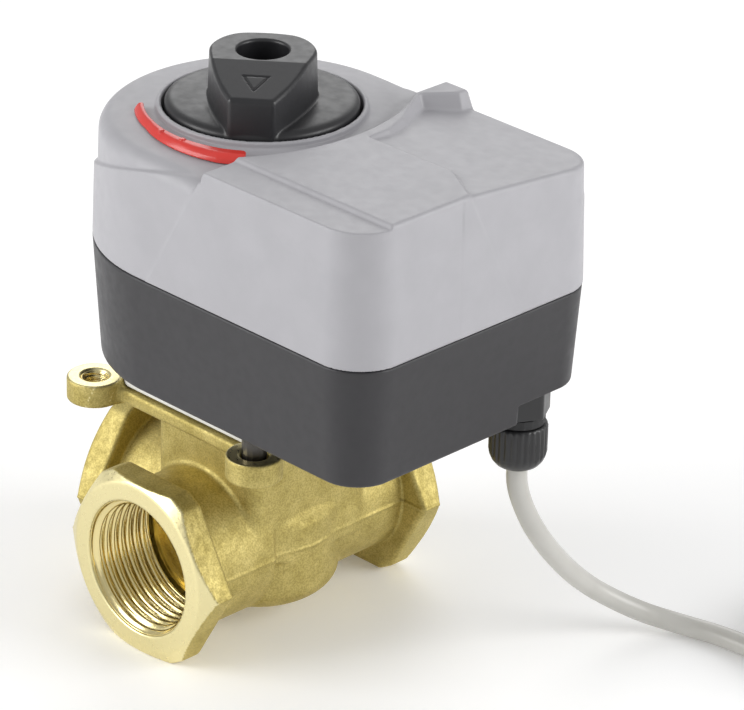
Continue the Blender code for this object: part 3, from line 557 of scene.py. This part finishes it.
def thread(name, major, depth, pitch, low, high, finish, sides=96, per_turn=8):
    """The ridges of a female thread along Z, as a thin sleeve inside its bore."""
    rows = int(round((high - low) / pitch * per_turn))
    angle = np.linspace(0, 2 * np.pi, sides, endpoint=False)
    points = []
    for row in range(rows + 1):
        z = low + (high - low) * row / rows
        phase = (z / pitch - angle / (2 * np.pi)) % 1.0
        ridge = np.clip(1.35 - np.abs(phase - 0.5) * 3.6, 0.08, 1.0)
        fade = np.clip(np.minimum((z - low) / (0.6 * pitch), (high - z) / (0.7 * pitch)), 0, 1)
        r = major - depth * ridge * fade
        points.append(np.stack([r * np.cos(angle), r * np.sin(angle), np.full(sides, z)], 1))
    for z in (high, low):
        r = major + 0.14
        points.append(np.stack([r * np.cos(angle), r * np.sin(angle), np.full(sides, z)], 1))
    count = rows + 3
    faces = []
    for i in range(count):
        a, b = i * sides, ((i + 1) % count) * sides
        faces += [(b + k, b + (k + 1) % sides, a + (k + 1) % sides, a + k) for k in range(sides)]
    return mesh_piece(name, np.concatenate(points), faces, finish)


def threads():
    for label, heading in PORTS:
        sleeve = thread("thread_" + label, 16.66, 1.48, 2.309, 20.0, 38.5, bright_brass)
        show(place(sleeve, (0, 0, PORT_Z), port_turn(heading)), "housing", "brass")
    for label, y in (("front", -LUG), ("rear", LUG)):
        sleeve = thread("lug_thread_" + label, 3.05, 0.55, 1.0, 53.3, 58.2, bright_brass, 40)
        show(place(sleeve, (-LUG, y, 0)), "housing", "brass")


# ---------------------------------------------------------------- housing


def base_side(x, y, z):
    return housing_plan(x, y) + 1.9 * (96.7 - z) / 29.2


def base_shape(x, y, z):
    side = base_side(x, y, z)
    shape = both(both(side, BASE_LOW - z, 0.9), z - 96.95, 0.3)
    step = np.maximum(np.maximum(48.0 - x, 14.3 - y), z - 72.6)
    shape = without(shape, step, 0.4)
    boss = both(box_plan(x, y, 22.0, 22.0, 4.0), slab(z, 61.5, 69.0), 0.5)
    shape = join(shape, boss, 0.5)
    hollow = both(side + 2.5, 70.5 - z)
    floor = np.maximum(np.maximum(45.5 - x, 11.8 - y), z - 75.2)
    shape = without(shape, without(hollow, floor))
    shape = without(shape, both(np.hypot(x, y) - 9.0, z - 75.0))
    for px, py, radius in ((27.4, -27.4, 3.3), (27.4, 27.4, 3.3), (61.5, 24.0, 6.4)):
        shape = without(shape, both(np.hypot(x - px, y - py) - radius, z - 78.0))
    for px, py in ((-17.5, -26.5), (-17.5, 26.5), (61, -29), (44, 31)):
        ring = np.hypot(x - px, y - py)
        post = both(both(ring - 4.0, 69.0 - z), z - 96.0)
        shape = without(join(shape, both(post, side)), ring - 1.9)
        shape = without(shape, both(ring - 3.2, z - 71.0), 0.2)
    return shape


def cover_side(x, y, z):
    inset = 0.9 * (z - 97.4) / 33.4
    line = -32.4 + np.sqrt(np.maximum(160.0**2 - (x - 38.0) ** 2, 1.0))
    skin = np.clip((z - line) / 0.5, 0, 1) * np.clip((20.7 - x) / 0.4, 0, 1)
    return housing_plan(x, y) + inset + 0.85 * skin * skin * (3 - 2 * skin)


def deck_height(radius):
    """The top of the cover's round end falls away from the ring lip."""
    return 128.0 - (radius - 24.3) * 0.128


POCKET = [(33.6, 2.0), (59.0, 2.5), (74.0, -6.6), (95.0, -6.6), (95.0, 60.0), (30.4, 60.0), (30.4, 34.6)]
POCKET += [(24.6, 27.6), (27.2, 22.2), (31.2, 15.6), (33.6, 8.3)]


def cover_shape(x, y, z):
    side = cover_side(x, y, z)
    radius = np.hypot(x, y)
    deck = deck_height(radius)
    round_end = both(side, (z - deck) / 1.008, 3.4)
    arc = (np.hypot(x + 20.0, y) - 49.5 - (z - 129.0) * 0.45) / 1.1
    step = (x - 20.7 - (z - 128.6) * 0.55) / 1.14
    edge = np.minimum(arc, step)
    platform = both(side, z - PLATFORM_Z, 1.0)
    ledge = np.minimum(z - 129.7, (-(y + 29.1) + (z - 129.7) * 0.7) / 1.22)
    platform = both(platform, ledge, 0.25)
    lean = polygon(x, y, POCKET)
    floor = 129.9 - 0.094 * (y - 1.0)
    sunk = (z - floor) / 1.0044
    platform = both(platform, -(lean - (z - floor) * 0.45) / 1.1, 0.35)
    pocket = both(both(side, sunk, 1.0), lean - 1.4)
    platform = join(platform, pocket, 0.5)
    platform = both(platform, -edge, 0.45)
    shape = join(round_end, platform, 0.6)
    lip = both(np.abs(radius - 23.75) - 0.62, z - 129.4, 0.35)
    shape = join(shape, both(lip, 125.0 - z), 0.35)
    shape = without(shape, both(radius - 23.2, 120.5 - z, 0.2), 0.15)
    shape = without(shape, radius - 7.6)
    hollow = both(side + 2.6, z - 124.0)
    well = both(radius - 25.6, 118.3 - z)
    shape = without(shape, without(hollow, well))
    return both(shape, COVER_LOW - z, 0.3)


def scale_shape(x, y, z):
    radius = np.hypot(x, y)
    angle = np.degrees(np.arctan2(y, x))
    along = np.abs(radius * np.radians(angle + 91.25)) - radius * math.radians(40.75)
    wider = np.clip((angle + 108.0) / 46.0, 0, 1)
    outer = 29.4 + 2.8 * wider
    shape = both(slab(radius, 27.1 + 1.2 * wider, outer), along, 1.0)
    slope = (z - 129.3 + (radius - outer + 1.3) * 1.1) / 1.487
    shape = both(both(shape, z - 129.3, 0.3), slope, 0.5)
    shape = both(shape, deck_height(radius) + 0.25 - z)
    for heading in (-96.0, -82.0):
        px = 28.7 * math.cos(math.radians(heading))
        py = 28.7 * math.sin(math.radians(heading))
        dot = both(np.hypot(x - px, y - py) - 0.72, slab(z, 128.8, 129.6), 0.2)
        shape = join(shape, dot, 0.1)
    return shape


def housing():
    low_x, high_x, half = -HOUSING_R, HOUSING_END, HOUSING_R
    base = solid("housing_base", base_shape, (low_x, -half, 61.5), (high_x, half, 97.0), 0.5, charcoal)
    show(base, "housing", "charcoal_plastic", "base_housing")
    low_corner, high_corner = (low_x, -half, COVER_LOW), (high_x, half, PLATFORM_Z)
    cover = solid("housing_cover", cover_shape, low_corner, high_corner, 0.42, grey)
    show(cover, "housing", "grey_plastic", "cover")
    scale = solid("red_scale", scale_shape, (-21.4, -32.2, 127), (20.6, -18.0, 129.6), 0.16, red)
    show(scale, "housing", "red_plastic", "position_scale")


# ---------------------------------------------------------------- knob


def knob_shape(x, y, z):
    c, s = math.cos(KNOB_HEADING), math.sin(KNOB_HEADING)
    along = x * c + y * s
    across = -x * s + y * c
    radius = np.hypot(x, y)
    disc = both(both(radius - 22.5, z - KNOB_DISC_Z, 2.2), 121.0 - z, 0.3)
    disc = both(disc, (radius - 20.0 + (z - KNOB_DISC_Z) * 4.0) / 4.12, 1.0)
    drop = KNOB_TOP - z
    side = np.abs(across) - 12.5 - drop * 0.03
    taper = (np.abs(across) - 5.0 - drop * 0.03 - 0.57 * (22.0 - along)) / 1.151
    back = np.hypot(along - 19.4, across) - 30.0 - drop * 0.03
    plan = both(both(side, taper, 6.0), back, 7.5)
    plan = both(plan, along - 21.9 - drop * 0.03, 0.6)
    slope = ((along - 7.0) * 0.245 - drop) / 1.03
    grip = both(both(plan, np.maximum(-drop, slope), 1.0), 127.0 - z)
    shape = join(disc, grip, 0.5)
    hole = both(radius - 6.0, 128.0 - z, 0.3)
    shape = without(shape, hole, 0.7)
    shape = without(shape, both(radius - 1.9, 115.0 - z))
    socket = both(np.maximum(np.abs(x), np.abs(y)) - 4.3, z - 124.7)
    shape = without(shape, socket)
    triangle = polygon(along, across, [(18.7, 0.0), (12.6, 3.3), (12.6, -3.3)])
    mark = np.abs(triangle + 0.25) - 0.22
    return without(shape, both(mark, -slope - 0.28), 0.05)


def knob():
    obj = solid("knob_grip", knob_shape, (-22.6, -22.6, 121), (22.6, 22.6, 142.4), 0.24, black)
    show(obj, "output", "black_plastic", "knob")


# ---------------------------------------------------------------- gland and plate


def gland():
    ribs = 26

    def knurl(angle, ring):
        if 4 <= ring <= 7:
            return 0.336 * (np.abs(np.cos(angle * ribs / 2)) - 1.0)
        return 0 * angle

    rings = ((5.7, 56.6), (5.7, 62.6), (6.3, 62.6), (6.6, 62.3), (6.85, 61.9))
    rings += ((6.85, 60.0), (6.85, 57.5), (6.85, 55.2), (6.6, 54.3), (6.1, 53.1))
    rings += ((5.2, 52.0), (4.2, 51.4), (3.4, 51.3), (2.9, 51.5), (2.9, 56.6))
    last = len(rings) - 1
    cap = revolve("gland_nut", rings[::-1], gland_black, ribs * 8, lambda a, n: knurl(a, last - n))
    show(place(cap, (*GLAND, 0)), "housing", "black_plastic", "gland_cap")

    def body(x, y, z):
        radius = np.hypot(x, y)
        nut = np.abs(y) - 6.5
        for angle in (60, 120):
            c, s = math.cos(math.radians(angle)), math.sin(math.radians(angle))
            nut = both(nut, np.abs(c * y + s * x) - 6.5, 0.2)
        nut = both(both(nut, slab(z, 65.3, 72.3), 0.25), radius - 7.35, 0.2)
        shape = join(nut, both(radius - 6.0, slab(z, 71.0, 79.0), 0.3))
        shape = join(shape, both(radius - 5.3, slab(z, 58.0, 66.0), 0.3))
        bore = both(radius - 3.1, 60.0 - z)
        bore = np.minimum(bore, both(radius - 4.3, z - 65.3))
        return without(shape, bore)

    nut = solid("gland_hex", body, (-7.5, -6.5, 58), (7.5, 6.5, 79), 0.22, gland_black)
    show(place(nut, (*GLAND, 0)), "housing", "black_plastic", "gland_body")


def plate():
    def shape(x, y, z):
        sheet = both(box_plan(x, y, 24.0, 24.0, 5.0), slab(z, *PLATE_Z), 0.4)
        return without(sheet, np.hypot(x, y) - 9.4)

    obj = solid("white_plate", shape, (-24, -24, PLATE_Z[0]), (24, 24, PLATE_Z[1]), 0.4, white)
    show(obj, "housing", "white_plastic", "insulating_plate")


# ---------------------------------------------------------------- lead

LEAD_ROUTE = (
    (61.5, 24.0, 51.6),
    (61.6, 24.1, 46.5),
    (62.1, 25.3, 41.5),
    (63.2, 27.3, 36.0),
    (64.5, 29.8, 31.0),
    (65.5, 33.2, 26.0),
    (66.4, 38.6, 19.6),
    (67.8, 44.3, 14.0),
    (70.0, 49.5, 9.8),
    (72.9, 54.0, 6.6),
    (76.0, 57.6, 4.5),
    (79.6, 60.6, 3.2),
    (84.5, 62.9, 2.6),
    (91.0, 64.6, 2.6),
    (98.3, 65.6, 2.6),
)
COIL = (124.0, 93.0)
COIL_OUTER = 27.8
COIL_INNER = 22.6


def coil_point(turn):
    """The coil after this many half turns from its -Y side: outer, inner, up a layer, and outer again."""

    def ease(value, low, high):
        t = min(max((value - low) / (high - low), 0.0), 1.0)
        return t * t * (3 - 2 * t)

    inward = ease(turn, 1.5, 2.0)
    outward = ease(turn, 5.05, 5.5)
    r = COIL_OUTER + (COIL_INNER - COIL_OUTER) * (inward - outward)
    z = 2.6 + 5.1 * ease(turn, 3.1, 3.5)
    angle = math.radians(-90) + math.pi * turn
    return (COIL[0] + r * math.cos(angle), COIL[1] + r * math.sin(angle), z)


def smooth_route(points, spacing=1.5):
    """Points on a Catmull-Rom curve through the given ones."""
    knots = [Vector(points[0]) * 2 - Vector(points[1])] + [Vector(p) for p in points]
    knots.append(knots[-1] * 2 - knots[-2])
    route = []
    for a, b, c, d in zip(knots, knots[1:], knots[2:], knots[3:]):
        parts = max(2, int((c - b).length / spacing))
        for i in range(parts):
            t = i / parts
            bend = (2 * a - 5 * b + 4 * c - d) * t * t + (3 * b - a - 3 * c + d) * t**3
            route.append(0.5 * (2 * b + (c - a) * t + bend))
    route.append(Vector(points[-1]))
    return route


def cut_to(route, length):
    """The start of the route, of this length, and the rest of it."""
    travelled = 0.0
    for i in range(1, len(route)):
        piece = (route[i] - route[i - 1]).length
        if travelled + piece >= length:
            end = route[i - 1].lerp(route[i], (length - travelled) / piece)
            return route[:i] + [end], [end] + route[i:]
        travelled += piece
    return route, []


def tube(name, route, radius, finish, resolution=5):
    curve = bpy.data.curves.new(name, "CURVE")
    curve.dimensions = "3D"
    curve.bevel_depth = radius * MM
    curve.bevel_resolution = resolution
    curve.use_fill_caps = True
    spline = curve.splines.new("POLY")
    spline.points.add(len(route) - 1)
    for point, at in zip(spline.points, route):
        point.co = (at[0] * MM, at[1] * MM, at[2] * MM, 1)
    spline.use_smooth = True
    curve.materials.append(finish)
    obj = bpy.data.objects.new(name, curve)
    scene.collection.objects.link(obj)
    return obj


def lead():
    start = [Vector(p) for p in LEAD_ROUTE]
    around = [Vector(coil_point(t)) for t in np.arange(0.0, 7.9, 0.04)]
    route = smooth_route(start + [Vector((105.5, 65.6, 2.6)), Vector((114.5, 65.3, 2.6))] + around)
    jacketed, rest = cut_to(route, LEAD_LENGTH / MM)
    cable = tube("flying_lead", jacketed, CABLE_R, jacket)
    show(cable, "housing", "cable_jacket", "lead", "lead_coil")
    colours = (("brown", (0.16, 0.05, 0.02)), ("blue", (0.02, 0.09, 0.42)), ("yellow", (0.55, 0.5, 0.03)))
    for index, (label, colour) in enumerate(colours):
        finish = plastic("core_" + label, colour, 0.4).material
        spread = []
        path, _ = cut_to(rest, 17.0 - 2.0 * index)
        for i, point in enumerate(path):
            outwards = (point - Vector((*COIL, point.z))).normalized()
            open_up = min(i / 6, 1.0)
            side = (index - 1) * (1.0 + 0.7 * open_up)
            spread.append(point + outwards * side + Vector((0, 0, 0.6 - 0.9 * abs(index - 1))))
        core = tube("core_" + label, spread, 0.75, finish, 3)
        show(core, "housing", "cable_jacket")
    length = sum((b - a).length for a, b in zip(jacketed, jacketed[1:])) * MM


valve_body()
threads()
housing()
knob()
gland()
plate()
lead()


# ---------------------------------------------------------------- studio


def studio():
    floor = bpy.data.meshes.new("floor")
    floor.from_pydata([(-3, -3, 0), (3, -3, 0), (3, 3, 0), (-3, 3, 0)], [], [(0, 1, 2, 3)])
    ground = bpy.data.objects.new("floor", floor)
    scene.collection.objects.link(ground)
    finish = Finish("studio_floor", (0.96, 0.96, 0.96), 0.7, Emission_Strength=0.12)
    floor.materials.append(finish.material)
    world = bpy.data.worlds.new("studio")
    scene.world = world
    world.use_nodes = True
    world.node_tree.nodes["Background"].inputs["Color"].default_value = (1, 1, 1, 1)
    world.node_tree.nodes["Background"].inputs["Strength"].default_value = 0.48
    lights = (
        ("front_softbox", (-0.65, -1.10, 0.60), 0.9, 12.5),
        ("right_softbox", (1.10, 0.60, 0.55), 0.8, 10.5),
        ("back_softbox", (-0.87, 0.88, 0.75), 0.9, 4.5),
    )
    target = Vector((0.01, 0.0, 0.07))
    for name, at, size, power in lights:
        data = bpy.data.lights.new(name, "AREA")
        data.size = size
        data.energy = power
        lamp = bpy.data.objects.new(name, data)
        lamp.location = at
        lamp.rotation_euler = (Vector(at) - target).to_track_quat("Z", "Y").to_euler()
        scene.collection.objects.link(lamp)


def camera():
    azimuth = math.radians(44.774)
    elevation = math.radians(25.998)
    roll = math.radians(1.356)
    back = Vector((
        math.sin(azimuth) * math.cos(elevation),
        -math.cos(azimuth) * math.cos(elevation),
        math.sin(elevation),
    ))
    right = Vector((math.cos(azimuth), math.sin(azimuth), 0.0))
    up = back.cross(right)
    right_rolled = right * math.cos(roll) + up * math.sin(roll)
    up_rolled = up * math.cos(roll) - right * math.sin(roll)
    data = bpy.data.cameras.new("camera")
    data.lens = 216.1
    data.sensor_width = 36.0
    data.sensor_fit = "HORIZONTAL"
    data.clip_start = 0.01
    eye = bpy.data.objects.new("camera", data)
    matrix = Matrix((right_rolled, up_rolled, back)).transposed().to_4x4()
    matrix.translation = Vector((0.68317, -0.65104, 0.52557))
    eye.matrix_world = matrix
    scene.collection.objects.link(eye)
    scene.camera = eye


studio()
camera()
scene.view_settings.view_transform = "Standard"
